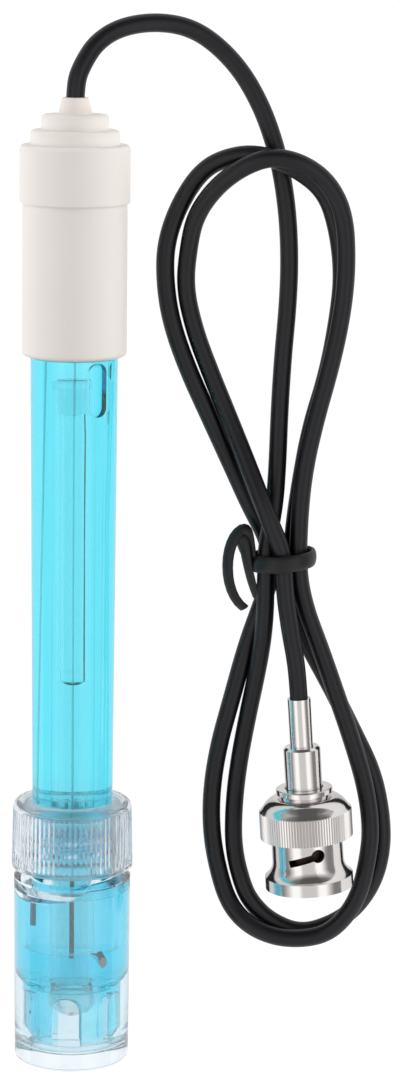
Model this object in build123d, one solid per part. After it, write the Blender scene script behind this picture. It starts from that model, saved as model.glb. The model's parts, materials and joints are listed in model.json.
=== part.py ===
"""pH electrode with a storage bottle on its tip, lying beside its tied lead. Millimetres, +Z up.

The electrode lies along Y with its lead end towards +Y. Its pieces are drawn upright, with heights
from the base of the bottle and the front towards -Y, and are laid down on their backs at the end.
The plug is drawn upright too, with heights from its mouth.
"""
import os
from math import atan, cos, degrees, pi, radians, sin, tan

from build123d import *

os.makedirs("parts", exist_ok=True)

# Storage bottle with its neck and screw collar
bottle_base = 2.8
bottle_height = 29.3
bottle_wall = 1.3
bottle_taper = 0.16
bottle_inset = 0.34
bottle_round = 0.9
shoulder_rise = 1.0
neck_height = 9.9
neck_wall = 1.05
thread_room = 0.7
tip_gap = 0.15
tip_floor_gap = 0.6
solution_drop = 0.6
solution_tilt = (0.25, 0.2)
washer_height = 1.0
washer_gap = 0.09
washer_edge_gap = 0.3
collar_gap = 0.5
collar_side_wall = 1.29
collar_top_wall = 1.2
collar_taper = 0.22
collar_round = 1.2
collar_foot_round = 0.3
rib_count = 72
rib_depth = 0.25
rib_margin = 0.8

# Body tube: tapered moulding with an end wall and a guard of four prongs
body_length = 115.0
body_tip_radius = 6.0
body_taper = 0.7
body_wall = 1.1
guard_length = 8.6
guard_step = 0.8
guard_slope = 1.0
guard_wall = 1.3
guard_chamfer = 0.9
guard_chamfer_length = 1.6
slot_count = 4
slot_width = 3.6
slot_length = 7.6
slot_turn = -7.0
end_wall_rise = 0.5
end_wall = 6.5

# Glass stem with its sensing bulb, and its stopper
stem_radius = 2.25
stem_wall = 0.65
stem_room = 4.5
bulb_radius = 2.65
bulb_wall = 0.3
bulb_drop = 1.45
seal_wall = 0.85
seal_height = 1.7
stopper_depth = 3.9
stopper_head = 1.5
stopper_round = 0.9

# Electrodes and fillings
wire_radius = 0.12
element_radius = 0.3
inner_wire_rise = 6.5
inner_element_rise = 7.8
inner_element_length = 9.0
buffer_depth = 43.7
meniscus_radius = 2.0
reference_wire_rise = 4.5
reference_top_gap = 0.55
reference_element_rise = 8.2
reference_element_length = 4.5
reference_element_gap = 0.53
bubble_radius = 1.5
bubble_drop = 4.0
bubble_length = 8.3
bubble_offset = 3.3
bubble_inset = 1.5

# Ceramic junction, slanted from the chamber floor to the outside of the body
junction_radius = 0.65
junction_turn = 46.0
junction_inset = 0.5
junction_drop = 1.3

# Bung and resin under the cap
end_plug_depth = 9.0
end_plug_length = 9.0
potting_gap = 0.1

# Cap: sleeve, stepped cover and lead boot
sleeve_wall = 1.15
sleeve_overlap = 17.7
sleeve_rise = 5.4
sleeve_round = 0.8
glue_gap = 0.05
spigot_step = 0.8
spigot_wall = 1.2
spigot_length = 6.5
cover_gap = 0.05
band_step = 0.4
band_length = 8.6
lower_step_inset = 1.57
lower_step_height = 2.2
upper_step_inset = 1.65
upper_step_height = 2.3
cover_wall = 1.2
cover_round = 0.6
boot_length = 2.5
boot_tip_wall = 0.55
boot_flare = 0.6
boot_neck_wall = 0.4
boot_flange = 1.0
boot_round = 0.3

# Lead where it enters the cap
cable_radius = 1.4
cable_gap = 0.05
lead_overrun = 0.7
crimp_wall = 0.8
crimp_length = 3.0
core_wire_radius = 0.5
solder_overlap = 1.5
shield_wire_radius = 0.35
shield_inset = 0.45
solder_radius = 0.6

# Bayonet plug: its place on the floor, and its heights from the mouth
plug_mouth = (36.9, -47.2)
plug_turn = 4.11
contact_radius = 4.05
contact_wall = 0.75
contact_recess = 1.0
contact_grip = 2.0
contact_slot_width = 0.5
contact_slot_length = 5.5
contact_slot_turn = 45.0
jack_room = 0.85
nut_side_wall = 0.65
nut_back_wall = 2.24
nut_flange_step = 1.3
nut_flange = 1.9
nut_flare = 2.3
nut_neck = 3.84
knurl_step = 1.65
knurl_length = 4.2
knurl_chamfer = 0.5
dome_width = 1.9
dome_height = 1.7
lip_neck = 0.6
lip_radius = 4.4
lip_height = 0.8
lip_round = 0.25
ramp_width = 2.1
ramp_skin = 0.25
ramp_slot_width = 1.1
ramp_slot_turn = 48.0
ramp_start_turn = -70.0
ramp_end_turn = 16.0
ramp_margin = 2.0
ramp_rise = 2.2
shank_wall = 1.08
shank_length = 6.56
shank_gap = 0.12
shank_chamfer = 0.35
plug_flange_step = 0.25
plug_flange = 1.8
plug_bore_gap = 0.1
spring_height = 0.3
spring_gap = 0.2
gasket_gap = 0.15
gasket_height = 0.9
gasket_seat_step = 0.3
insulator_recess = 2.2
insulator_nose = 2.8
insulator_nose_step = 0.9
pin_radius = 0.675
pin_recess = 1.6
pin_point = 1.2
pin_tail = 3.7
ferrule_wall = 0.4
ferrule_length = 10.6
ferrule_depth = 3.0

# Lead outside the cap and at the plug, in the plane of the floor with the height last
cord_bend_share = 0.45
lead_straight = 2.1
lead_points = (
    (1.0, 79.3, 7.6),
    (3.0, 82.5, 6.4),
    (6.5, 84.7, 4.8),
    (11.5, 85.5, 3.2),
    (16.5, 84.8, 2.0),
    (20.5, 82.5, 1.4),
    (24.5, 78.5, 1.4),
    (27.5, 73.5, 1.4),
    (29.5, 68.5, 1.4),
    (31.0, 63.0, 1.4),
    (32.0, 56.5, 1.4),
    (32.4, 49.5, 1.4),
    (32.2, 42.5, 1.4),
    (31.6, 35.0, 1.4),
    (31.2, 26.5, 1.5),
    (31.0, 18.0, 2.2),
    (30.6, 12.0, 3.6),
)
tail_straight = 1.5
tail_points = (
    (32.0, 5.5, 7.2),
    (32.3, -0.5, 7.3),
    (33.2, -6.5, 7.25),
    (34.2, -11.5, 7.2),
)

# Hank: two flattened loops of the lead, drawn in with a tie
upper_outer = (
    (35.0, -1.0), (28.5, -1.0), (24.0, 16.0), (16.5, 31.0), (13.0, 41.0), (12.0, 49.0),
    (13.5, 56.5), (17.0, 62.5), (22.0, 66.0), (27.5, 67.0), (33.5, 66.5), (38.5, 62.5),
    (41.5, 57.5), (42.5, 49.5), (42.0, 42.5), (39.5, 32.0), (36.5, 18.5),
)
upper_inner = (
    (31.0, 13.0), (27.0, 21.0), (22.5, 31.0), (19.5, 39.5), (18.0, 47.5), (19.0, 54.0),
    (22.0, 60.0), (26.0, 63.5), (30.5, 64.0), (34.5, 61.0), (37.5, 55.5), (39.0, 47.5),
    (38.0, 38.5), (36.0, 28.5), (33.0, 17.5),
)
lower_outer = (
    (28.0, 6.5), (34.5, 6.5), (39.0, -9.0), (43.0, -20.0), (47.5, -29.5), (49.5, -38.0),
    (49.5, -44.5), (46.0, -53.0), (40.5, -57.0), (35.0, -59.0), (29.0, -57.5), (24.5, -53.0),
    (21.0, -45.5), (20.0, -37.5), (21.5, -26.0), (24.5, -14.5),
)
lower_inner = (
    (31.0, -3.5), (30.5, -6.5), (28.0, -22.0), (26.5, -36.5), (26.5, -42.5), (29.0, -50.0),
    (34.0, -54.0), (39.0, -54.0), (42.5, -50.5), (44.5, -44.5), (44.5, -36.5), (42.0, -26.0),
    (38.0, -15.5), (33.5, -5.0),
)
hank_height = 5.7
hump_height = 8.6
hump_foot = 58.5
hump_sides = (19.0, 38.0)
waist = (32.0, 3.1, 4.85)
waist_radius = 3.95
waist_length = 12.0
tie_thickness = 0.85
tie_width = 2.6
tie_end_radius = 0.8
tie_knot = (26.4, 6.4, 5.0)
tie_ends = ((26.0, -3.9, 3.0), (27.8, -1.8, 4.4))

# Heights and radii of the electrode that follow from those sizes
floor_to_top = (Align.CENTER, Align.CENTER, Align.MIN)
reach = 0.01
guard_tip = bottle_base + tip_floor_gap
guard_root = guard_tip + guard_length
guard_shoulder = guard_root + guard_slope
guard_radius = body_tip_radius - guard_step
guard_bore = guard_radius - guard_wall
slot_top = guard_tip + slot_length
end_wall_foot = slot_top + end_wall_rise
end_wall_top = end_wall_foot + end_wall
body_top = guard_shoulder + body_length
body_top_radius = body_tip_radius + body_taper
stem_bore = stem_radius - stem_wall
bulb_centre = end_wall_foot - bulb_drop
seal_radius = stem_radius + seal_wall
end_plug_top = body_top - end_plug_depth
end_plug_foot = end_plug_top - end_plug_length
stem_top = end_plug_foot - stem_room
inner_wire_top = end_plug_top + inner_wire_rise
inner_element_top = end_wall_top + inner_element_rise
reference_wire_top = end_plug_top + reference_wire_rise
reference_element_top = end_wall_top + reference_element_rise
sleeve_radius = body_top_radius + glue_gap + sleeve_wall
sleeve_foot = body_top - sleeve_overlap
spigot_radius = sleeve_radius - spigot_step
spigot_bore = spigot_radius - spigot_wall
band_radius = sleeve_radius + band_step
band_foot = body_top + sleeve_rise
spigot_top = band_foot + spigot_length
band_top = band_foot + band_length
lower_step_radius = band_radius - lower_step_inset
lower_step_top = band_top + lower_step_height
upper_step_radius = lower_step_radius - upper_step_inset
upper_step_top = lower_step_top + upper_step_height
cover_ceiling = upper_step_top - cover_wall
boot_top = upper_step_top + boot_length
boot_bore = cable_radius + cable_gap
boot_neck = boot_bore + boot_neck_wall
boot_top_radius = boot_bore + boot_tip_wall
boot_foot_radius = boot_top_radius + boot_flare
boot_flange_foot = cover_ceiling - boot_flange
lead_cut = boot_flange_foot - crimp_length - lead_overrun


def body_radius(height):
    return body_tip_radius + body_taper * (height - guard_shoulder) / body_length


neck_top = bottle_height + neck_height
neck_bore = body_radius(neck_top) + tip_gap
neck_radius = neck_bore + neck_wall
collar_bore = neck_radius + thread_room
collar_foot = bottle_height + shoulder_rise + collar_gap
collar_top = neck_top + washer_height + collar_top_wall
collar_foot_radius = collar_bore + collar_side_wall
collar_top_radius = collar_foot_radius - collar_taper
bottle_top_radius = collar_foot_radius - bottle_inset
bottle_foot_radius = bottle_top_radius - bottle_taper
bottle_bore = bottle_top_radius - bottle_wall

# Heights and radii of the plug that follow from those sizes
nut_flare_top = nut_flange + nut_flare
knurl_foot = nut_flare_top + nut_neck
knurl_top = knurl_foot + knurl_length
dome_top = knurl_top + knurl_chamfer + dome_height
lip_foot = dome_top + lip_neck
nut_length = lip_foot + lip_height
nut_inside = nut_length - nut_back_wall
nut_bore = contact_radius + jack_room
nut_neck_radius = nut_bore + nut_side_wall
nut_flange_radius = nut_neck_radius + nut_flange_step
nut_radius = nut_neck_radius + knurl_step
dome_radius = nut_radius - knurl_chamfer - dome_width
ramp_foot = nut_flange + ramp_margin
ramp_top = ramp_foot + ramp_rise
ferrule_radius = cable_radius + ferrule_wall
shank_radius = ferrule_radius + shank_wall
plug_bore = cable_radius + plug_bore_gap
plug_flange_radius = contact_radius + plug_flange_step
plug_flange_top = nut_inside - spring_height
plug_flange_foot = plug_flange_top - plug_flange
gasket_foot = plug_flange_foot - gasket_height
gasket_seat = contact_radius - gasket_seat_step
plug_end = nut_length + shank_length
contact_bore = contact_radius - contact_wall
insulator_top = gasket_foot - contact_grip
pin_top = plug_flange_top + pin_tail
ferrule_foot = plug_end - ferrule_depth
ferrule_top = ferrule_foot + ferrule_length


def turned(*profile):
    return revolve(Plane.XZ * make_face(Polyline(*profile, close=True)), Axis.Z)


def disc(radius, foot, top):
    return Pos(0, 0, foot) * Cylinder(radius, top - foot, align=floor_to_top)


def ring(inner, outer, foot, top):
    return disc(outer, foot, top) - disc(inner, foot, top)


def rod(radius, start, end):
    line = Line(start, end)
    return extrude(Plane(line @ 0, z_dir=line % 0) * Circle(radius), line.length)


def rim(shape, radius, height):
    circles = shape.edges().filter_by(GeomType.CIRCLE).filter_by_position(Axis.Z, height - reach, height + reach)
    return [circle for circle in circles if abs(circle.radius - radius) < reach]


def cord(points):
    path = [Vector(point) for point in points]
    runs = [end - start for start, end in zip(path, path[1:])]
    radii = []
    for before, after in zip(runs, runs[1:]):
        half_turn = radians(before.get_angle(after)) / 2
        radii.append(cord_bend_share * min(before.length, after.length) / tan(half_turn))
    line = FilletPolyline(*path, radius=radii)
    tube = sweep(Plane(line @ 0, z_dir=line % 0) * Circle(cable_radius), line)
    print("bend radii", [round(radius, 1) for radius in radii])
    print("volume over section times length", round(tube.volume / (pi * cable_radius**2 * line.length), 4))
    return tube


def loop(outer, inner):
    return make_face(Spline(*outer, periodic=True)) - make_face(Spline(*inner, periodic=True))


# Body tube, with the ceramic junction pin through its end wall
chamber = turned(
    (0, end_wall_top),
    (body_radius(end_wall_top) - body_wall, end_wall_top),
    (body_top_radius - body_wall, body_top),
    (0, body_top),
)
body_outline = turned(
    (0, guard_tip),
    (guard_radius - guard_chamfer, guard_tip),
    (guard_radius, guard_tip + guard_chamfer_length),
    (guard_radius, guard_root),
    (body_tip_radius, guard_shoulder),
    (body_top_radius, body_top),
    (0, body_top),
)
junction_foot = end_wall_top - junction_drop
junction_inner = Vector(body_radius(end_wall_top) - body_wall - junction_inset, 0, end_wall_top)
junction_outer = Vector(body_radius(junction_foot), 0, junction_foot)
junction_overrun = (junction_outer - junction_inner).normalized() * 2 * junction_radius
junction_pin = rod(junction_radius, junction_inner - junction_overrun, junction_outer + junction_overrun)
junction_pin = Rot(0, 0, junction_turn - 90) * junction_pin
slot_straight = slot_top - slot_width / 2
slot_shape = Pos(0, guard_tip) * Rectangle(slot_width, 2 * (slot_straight - guard_tip))
slot_shape += Pos(0, slot_straight) * Circle(slot_width / 2)
guard_slot = extrude(Plane.XZ * slot_shape, body_tip_radius)
body_tube = body_outline - chamber - disc(guard_bore, guard_tip, end_wall_foot)
body_tube -= disc(stem_radius, end_wall_foot, end_wall_top)
body_tube -= disc(seal_radius, end_wall_foot, end_wall_foot + seal_height)
for turn in range(slot_count):
    body_tube -= Rot(0, 0, slot_turn + turn * 360 / slot_count) * guard_slot
junction_plug = junction_pin & (body_outline - chamber)
body_tube -= junction_pin

# Glass stem with its bulb, its seal in the end wall and its stopper
stem_outline = disc(stem_radius, bulb_centre, stem_top) + Pos(0, 0, bulb_centre) * Sphere(bulb_radius)
stem_space = disc(stem_bore, bulb_centre, stem_top)
stem_space += Pos(0, 0, bulb_centre) * Sphere(bulb_radius - bulb_wall)
glass_stem = stem_outline - stem_space
tip_seal = ring(stem_radius, seal_radius, end_wall_foot, end_wall_foot + seal_height)
stopper = disc(stem_bore, stem_top - stopper_depth, stem_top)
stopper += disc(stem_radius, stem_top, stem_top + stopper_head)
stopper = fillet(rim(stopper, stem_radius, stem_top + stopper_head), stopper_round)

# Silver wires with their silver chloride ends
inner_wire = disc(wire_radius, inner_element_top, inner_wire_top)
inner_element = disc(element_radius, inner_element_top - inner_element_length, inner_element_top)
reference_element_foot = reference_element_top - reference_element_length
reference_out = body_radius(reference_element_foot) - body_wall - reference_element_gap - element_radius
reference_element = Pos(-reference_out, 0) * disc(element_radius, reference_element_foot, reference_element_top)
reference_end = (-stem_radius - reference_top_gap, 0, reference_wire_top)
reference_wire = rod(wire_radius, (-reference_out, 0, reference_element_top), reference_end) - reference_element
stem_stopper = stopper - inner_wire

# Buffer in the stem, and electrolyte with its bubble in the chamber
buffer_top = end_wall_top + buffer_depth
inner_buffer = (stem_space & disc(bulb_radius, 0, buffer_top)) - Pos(0, 0, buffer_top) * Sphere(meniscus_radius)
inner_buffer = inner_buffer - inner_wire - inner_element
bubble_foot = stem_top - bubble_drop
bubble_ends = (bubble_foot + bubble_radius, bubble_foot + bubble_length - bubble_radius)
bubble = disc(bubble_radius, *bubble_ends)
for height in bubble_ends:
    bubble += Pos(0, 0, height) * Sphere(bubble_radius)
bubble = Pos(bubble_offset, bubble_inset + body_wall - body_radius(bubble_foot)) * bubble
reference_gel = chamber & disc(body_top_radius, end_wall_top, end_plug_foot)
for item in (stem_outline, stopper, inner_wire, reference_wire, reference_element, bubble):
    reference_gel -= item

# Bung, resin and the conductors of the lead inside the cap
core_wire = disc(core_wire_radius, inner_wire_top - solder_overlap, lead_cut) - inner_wire
shield_wire = rod(shield_wire_radius, reference_end, (shield_inset - cable_radius, 0, lead_cut + shield_inset))
shield_wire += Pos(*reference_end) * Sphere(solder_radius)
shield_wire = (shield_wire & disc(body_top_radius, end_plug_top, lead_cut)) - reference_wire
end_plug = (chamber & disc(body_top_radius, end_plug_foot, end_plug_top)) - inner_wire - reference_wire
potting = chamber & disc(body_top_radius, end_plug_top, body_top)
potting += disc(spigot_bore, body_top, spigot_top - potting_gap)
for wire in (inner_wire, reference_wire, core_wire, shield_wire):
    potting -= wire

# Cap: sleeve over the body, stepped cover over the sleeve's spigot, boot and crimp on the lead
cap_sleeve = turned(
    (spigot_bore, body_top),
    (spigot_bore, spigot_top),
    (spigot_radius, spigot_top),
    (spigot_radius, band_foot),
    (sleeve_radius, band_foot),
    (sleeve_radius, sleeve_foot),
    (body_top_radius + glue_gap, sleeve_foot),
    (body_top_radius + glue_gap, body_top),
)
cap_sleeve = fillet(rim(cap_sleeve, sleeve_radius, sleeve_foot), sleeve_round)
cap_cover = turned(
    (spigot_radius + cover_gap, band_foot),
    (band_radius, band_foot),
    (band_radius, band_top),
    (lower_step_radius, band_top),
    (lower_step_radius, lower_step_top),
    (upper_step_radius, lower_step_top),
    (upper_step_radius, upper_step_top),
    (boot_neck, upper_step_top),
    (boot_neck, cover_ceiling),
    (upper_step_radius - cover_wall, cover_ceiling),
    (upper_step_radius - cover_wall, lower_step_top - cover_wall),
    (lower_step_radius - cover_wall, lower_step_top - cover_wall),
    (lower_step_radius - cover_wall, band_top - cover_wall),
    (spigot_radius + cover_gap, band_top - cover_wall),
)
cover_rims = rim(cap_cover, band_radius, band_top)
cover_rims += rim(cap_cover, lower_step_radius, lower_step_top)
cover_rims += rim(cap_cover, upper_step_radius, upper_step_top)
cap_cover = fillet(cover_rims, cover_round)
cable_boot = turned(
    (boot_bore, boot_flange_foot),
    (boot_foot_radius, boot_flange_foot),
    (boot_foot_radius, cover_ceiling),
    (boot_neck, cover_ceiling),
    (boot_neck, upper_step_top),
    (boot_foot_radius, upper_step_top),
    (boot_top_radius, boot_top),
    (boot_bore, boot_top),
)
cable_boot = fillet(rim(cable_boot, boot_top_radius, boot_top), boot_round)
cable_crimp = ring(cable_radius, cable_radius + crimp_wall, boot_flange_foot - crimp_length, boot_flange_foot)

# Storage bottle and its solution, with an air pocket at the front left
inner_shoulder = bottle_height - shoulder_rise
bottle_outline = turned(
    (0, 0),
    (bottle_foot_radius, 0),
    (bottle_top_radius, bottle_height),
    (neck_radius, bottle_height + shoulder_rise),
    (neck_radius, neck_top),
    (0, neck_top),
)
bottle_outline = fillet(rim(bottle_outline, bottle_foot_radius, 0), bottle_round)
bottle_space = turned(
    (0, bottle_base),
    (bottle_bore, bottle_base),
    (bottle_bore, inner_shoulder - shoulder_rise),
    (neck_bore, inner_shoulder),
    (0, inner_shoulder),
)
bottle_space = fillet(rim(bottle_space, bottle_bore, bottle_base), bottle_round)
storage_bottle = bottle_outline - bottle_space - disc(neck_bore, bottle_base + bottle_round, neck_top)
tip_space = turned(
    (0, guard_tip - tip_gap),
    (guard_radius + tip_gap, guard_tip - tip_gap),
    (guard_radius + tip_gap, guard_root),
    (body_tip_radius + tip_gap, guard_shoulder),
    (neck_bore, neck_top),
    (0, neck_top),
)
solution_level = bottle_height - solution_drop
liquid_surface = Plane((0, 0, solution_level), z_dir=(-solution_tilt[0], -solution_tilt[1], 1))
above_liquid = liquid_surface * Cylinder(3 * bottle_bore, bottle_height, align=floor_to_top)
storage_solution = bottle_space - tip_space - above_liquid

# Washer on the neck, and the ribbed screw collar that squeezes it on to the body
washer_bore = body_radius(neck_top + washer_height) + washer_gap
collar_seal = ring(washer_bore, collar_bore - washer_edge_gap, neck_top, neck_top + washer_height)
bottle_collar = turned(
    (collar_bore, collar_foot),
    (collar_foot_radius, collar_foot),
    (collar_top_radius, collar_top),
    (neck_bore, collar_top),
    (neck_bore, collar_top - collar_top_wall),
    (collar_bore, collar_top - collar_top_wall),
)
bottle_collar = fillet(rim(bottle_collar, collar_top_radius, collar_top), collar_round)
bottle_collar = fillet(rim(bottle_collar, collar_foot_radius, collar_foot), collar_foot_round)
rib_lean = degrees(atan((collar_foot_radius - collar_top_radius) / (collar_top - collar_foot)))
rib_foot = collar_foot + rib_margin
rib_length = collar_top - collar_round - rib_foot
rib_groove = Rot(0, -rib_lean, 0) * Rot(0, 0, 45) * Box(
    rib_depth * 2**0.5, rib_depth * 2**0.5, rib_length, align=floor_to_top
)
bottle_collar -= Pos(0, 0, rib_foot) * PolarLocations(collar_foot_radius, rib_count) * rib_groove

# Coupling nut with its two bayonet ramps
nut_side = Polyline(
    (dome_radius, dome_top),
    (lip_radius - lip_neck, dome_top),
    (lip_radius - lip_neck, lip_foot),
    (lip_radius, lip_foot),
    (lip_radius, nut_length),
    (shank_radius + shank_gap, nut_length),
    (shank_radius + shank_gap, nut_inside),
    (nut_bore, nut_inside),
    (nut_bore, 0),
    (nut_flange_radius, 0),
    (nut_flange_radius, nut_flange),
)
nut_throat = TangentArc(
    (nut_neck_radius, nut_flare_top), (nut_flange_radius, nut_flange), tangent=(0, -1)
)
nut_grip = Polyline(
    (nut_neck_radius, nut_flare_top),
    (nut_neck_radius, knurl_foot),
    (nut_radius, knurl_foot),
    (nut_radius, knurl_top),
    (nut_radius - knurl_chamfer, knurl_top + knurl_chamfer),
)
nut_dome = TangentArc(
    (nut_radius - knurl_chamfer, knurl_top + knurl_chamfer), (dome_radius, dome_top), tangent=(-1, 2)
)
coupling_nut = revolve(Plane.XZ * make_face([nut_side, nut_throat, nut_grip, nut_dome]), Axis.Z)
coupling_nut = fillet(rim(coupling_nut, lip_radius, nut_length), lip_round)


def ramp(inner, outer, width, start_turn):
    """A helical channel that climbs to the ramp's end, cut from one radius to another."""
    turn = ramp_end_turn - start_turn
    rise = ramp_rise * turn / (ramp_end_turn - ramp_start_turn)
    line = Helix(ramp_rise * 360 / (ramp_end_turn - ramp_start_turn), rise, (inner + outer) / 2)
    section = Plane(line @ 0, x_dir=(1, 0, 0), z_dir=line % 0) * Rectangle(outer - inner, width)
    return Pos(0, 0, ramp_top - rise) * Rot(0, 0, start_turn) * sweep(section, line, is_frenet=True)


ramp_inside = nut_bore - ramp_skin
ramp_floor = nut_neck_radius - ramp_skin
bayonet = ramp(ramp_inside, ramp_floor, ramp_width, ramp_start_turn)
bayonet += ramp(ramp_inside, nut_radius, ramp_slot_width, ramp_end_turn - ramp_slot_turn)
bayonet += Rot(0, 0, ramp_start_turn) * Pos(ramp_inside, 0) * Box(
    ramp_floor - ramp_inside, ramp_width, ramp_foot, align=(Align.MIN, Align.CENTER, Align.MIN)
)
bayonet += Rot(0, 0, ramp_end_turn) * Pos(ramp_inside, 0, ramp_top) * Rot(0, 90, 0) * Cylinder(
    ramp_width / 2, nut_radius - ramp_inside, align=floor_to_top
)
for opposite in (0, 180):
    coupling_nut -= Rot(0, 0, opposite - 90) * bayonet

# Plug body, its contacts and the parts that hold the nut on it
plug_body = turned(
    (plug_bore, insulator_top),
    (contact_bore, insulator_top),
    (contact_bore, gasket_foot),
    (gasket_seat, gasket_foot),
    (gasket_seat, plug_flange_foot),
    (plug_flange_radius, plug_flange_foot),
    (plug_flange_radius, plug_flange_top),
    (shank_radius, plug_flange_top),
    (shank_radius, plug_end - shank_chamfer),
    (shank_radius - shank_chamfer, plug_end),
    (ferrule_radius, plug_end),
    (ferrule_radius, ferrule_foot),
    (plug_bore, ferrule_foot),
)
spring_washer = ring(shank_radius + shank_gap, nut_bore - spring_gap, plug_flange_top, nut_inside)
contact_sleeve = ring(contact_bore, contact_radius, contact_recess, gasket_foot)
contact_slot = Pos(0, 0, contact_recess) * Box(
    2 * nut_bore, contact_slot_width, contact_slot_length, align=floor_to_top
)
for turn in (0, 90):
    contact_sleeve -= Rot(0, 0, contact_slot_turn + turn) * contact_slot
plug_gasket = ring(gasket_seat, nut_bore - gasket_gap, gasket_foot, plug_flange_foot)
insulator_shoulder = insulator_recess + insulator_nose
plug_insulator = turned(
    (pin_radius, insulator_recess),
    (contact_bore - insulator_nose_step, insulator_recess),
    (contact_bore - insulator_nose_step, insulator_shoulder),
    (contact_bore, insulator_shoulder),
    (contact_bore, insulator_top),
    (plug_bore, insulator_top),
    (plug_bore, plug_flange_top),
    (pin_radius, plug_flange_top),
)
centre_pin = turned((0, pin_recess), (pin_radius, pin_recess + pin_point), (pin_radius, pin_top), (0, pin_top))
crimp_ferrule = ring(cable_radius, ferrule_radius, ferrule_foot, ferrule_top)

# Where the electrode and the plug lie
lean = degrees(atan((collar_foot_radius - band_radius) / (band_top - cover_round - collar_foot)))
axis_height = collar_foot_radius * cos(radians(lean)) + collar_foot * sin(radians(lean))
electrode_place = Location((0, -boot_top / 2, axis_height), (-90 - lean, 0, 0))
plug_place = Pos(*plug_mouth, nut_radius) * Rot(0, 0, plug_turn) * Rot(-90, 0, 0)

# Lead: from the crimp to the hank, the hank with its waist, and from the waist to the plug
lead_start = [(electrode_place * Pos(0, 0, h)).position for h in (lead_cut, boot_top + lead_straight)]
cable_lead = cord((*lead_start, *lead_points))
tail_end = [(plug_place * Pos(0, 0, h)).position for h in (ferrule_top + tail_straight, pin_top)]
cable_tail = cord((*tail_points, *tail_end))
upper_loop = loop(upper_outer, upper_inner)
hump_width = hump_sides[1] - hump_sides[0]
hump = upper_loop & Pos(hump_sides[0] + hump_width / 2, hump_foot) * Rectangle(
    hump_width, 2 * hump_width, align=(Align.CENTER, Align.MIN)
)
waist_line = Pos(*waist) * Rot(90, 0, 0)
cable_hank = extrude(upper_loop, hank_height) + extrude(hump, hump_height)
cable_hank += extrude(loop(lower_outer, lower_inner), hank_height)
cable_hank -= Pos(*waist) * Box(4 * waist_radius, tie_width, 4 * waist_radius)
cable_hank += waist_line * Cylinder(waist_radius, waist_length)
cable_hank = cable_hank - cable_lead - cable_tail

# Twist tie round the waist, with its twisted knot and two ends
cable_tie = waist_line * (Cylinder(waist_radius + tie_thickness, tie_width) - Cylinder(waist_radius, tie_width))
tie_side = (waist[0] - waist_radius - tie_thickness / 2, waist[1], waist[2])
for start, end in ((tie_side, tie_knot), (tie_knot, tie_ends[0]), (tie_knot, tie_ends[1])):
    cable_tie += rod(tie_end_radius, start, end) + Pos(*end) * Sphere(tie_end_radius)
cable_tie -= cable_hank

nodes = {
    electrode_place: {
        "body_tube": body_tube,
        "glass_stem": glass_stem,
        "tip_seal": tip_seal,
        "junction_plug": junction_plug,
        "stem_stopper": stem_stopper,
        "inner_wire": inner_wire,
        "inner_element": inner_element,
        "inner_buffer": inner_buffer,
        "reference_wire": reference_wire,
        "reference_element": reference_element,
        "reference_gel": reference_gel,
        "end_plug": end_plug,
        "potting": potting,
        "core_wire": core_wire,
        "shield_wire": shield_wire,
        "cable_crimp": cable_crimp,
        "cap_sleeve": cap_sleeve,
        "cap_cover": cap_cover,
        "cable_boot": cable_boot,
        "storage_bottle": storage_bottle,
        "storage_solution": storage_solution,
        "collar_seal": collar_seal,
        "bottle_collar": bottle_collar,
    },
    plug_place: {
        "crimp_ferrule": crimp_ferrule,
        "plug_body": plug_body,
        "contact_sleeve": contact_sleeve,
        "plug_insulator": plug_insulator,
        "centre_pin": centre_pin,
        "plug_gasket": plug_gasket,
        "spring_washer": spring_washer,
        "coupling_nut": coupling_nut,
    },
    Location(): {
        "cable_lead": cable_lead,
        "cable_hank": cable_hank,
        "cable_tail": cable_tail,
        "cable_tie": cable_tie,
    },
}
for place, pieces in nodes.items():
    for name, piece in pieces.items():
        export_step(place * piece, f"parts/{name}.step")
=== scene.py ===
import json
from math import cos, pi, radians, sin

import bmesh
import bpy
from mathutils import Matrix, Vector
from mathutils.geometry import interpolate_bezier


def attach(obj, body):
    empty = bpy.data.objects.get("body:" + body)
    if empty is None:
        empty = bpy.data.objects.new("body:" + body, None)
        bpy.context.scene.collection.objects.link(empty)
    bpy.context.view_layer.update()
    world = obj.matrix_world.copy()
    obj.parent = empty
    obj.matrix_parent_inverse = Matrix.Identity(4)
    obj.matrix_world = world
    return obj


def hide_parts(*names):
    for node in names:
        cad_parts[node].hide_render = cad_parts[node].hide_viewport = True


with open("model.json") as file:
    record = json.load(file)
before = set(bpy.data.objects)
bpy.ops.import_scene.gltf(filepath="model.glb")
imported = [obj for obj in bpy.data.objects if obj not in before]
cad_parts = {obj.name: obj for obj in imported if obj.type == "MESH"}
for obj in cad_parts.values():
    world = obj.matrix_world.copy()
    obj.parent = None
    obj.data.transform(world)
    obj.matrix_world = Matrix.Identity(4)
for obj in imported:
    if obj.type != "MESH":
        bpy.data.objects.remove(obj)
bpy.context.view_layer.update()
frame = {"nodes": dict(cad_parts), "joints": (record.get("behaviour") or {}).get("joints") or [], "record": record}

nodes = frame["nodes"]
mm = 0.001


# Glass stem: a tube of clear soda glass with the thin sensing bulb blown on its end. It was drawn hot,
# which leaves long faint waves along it, and it is glued and sealed in the body's end wall.
def linear(code):
    """An sRGB colour such as e8e2dd as a linear one, with its alpha."""
    parts = [int(code[start : start + 2], 16) / 255 for start in (0, 2, 4)]
    return [p / 12.92 if p <= 0.04045 else ((p + 0.055) / 1.055) ** 2.4 for p in parts] + [1.0]


def new_material(name):
    material = bpy.data.materials.new(name)
    material.use_nodes = True
    material.node_tree.nodes.clear()
    return material


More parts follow.
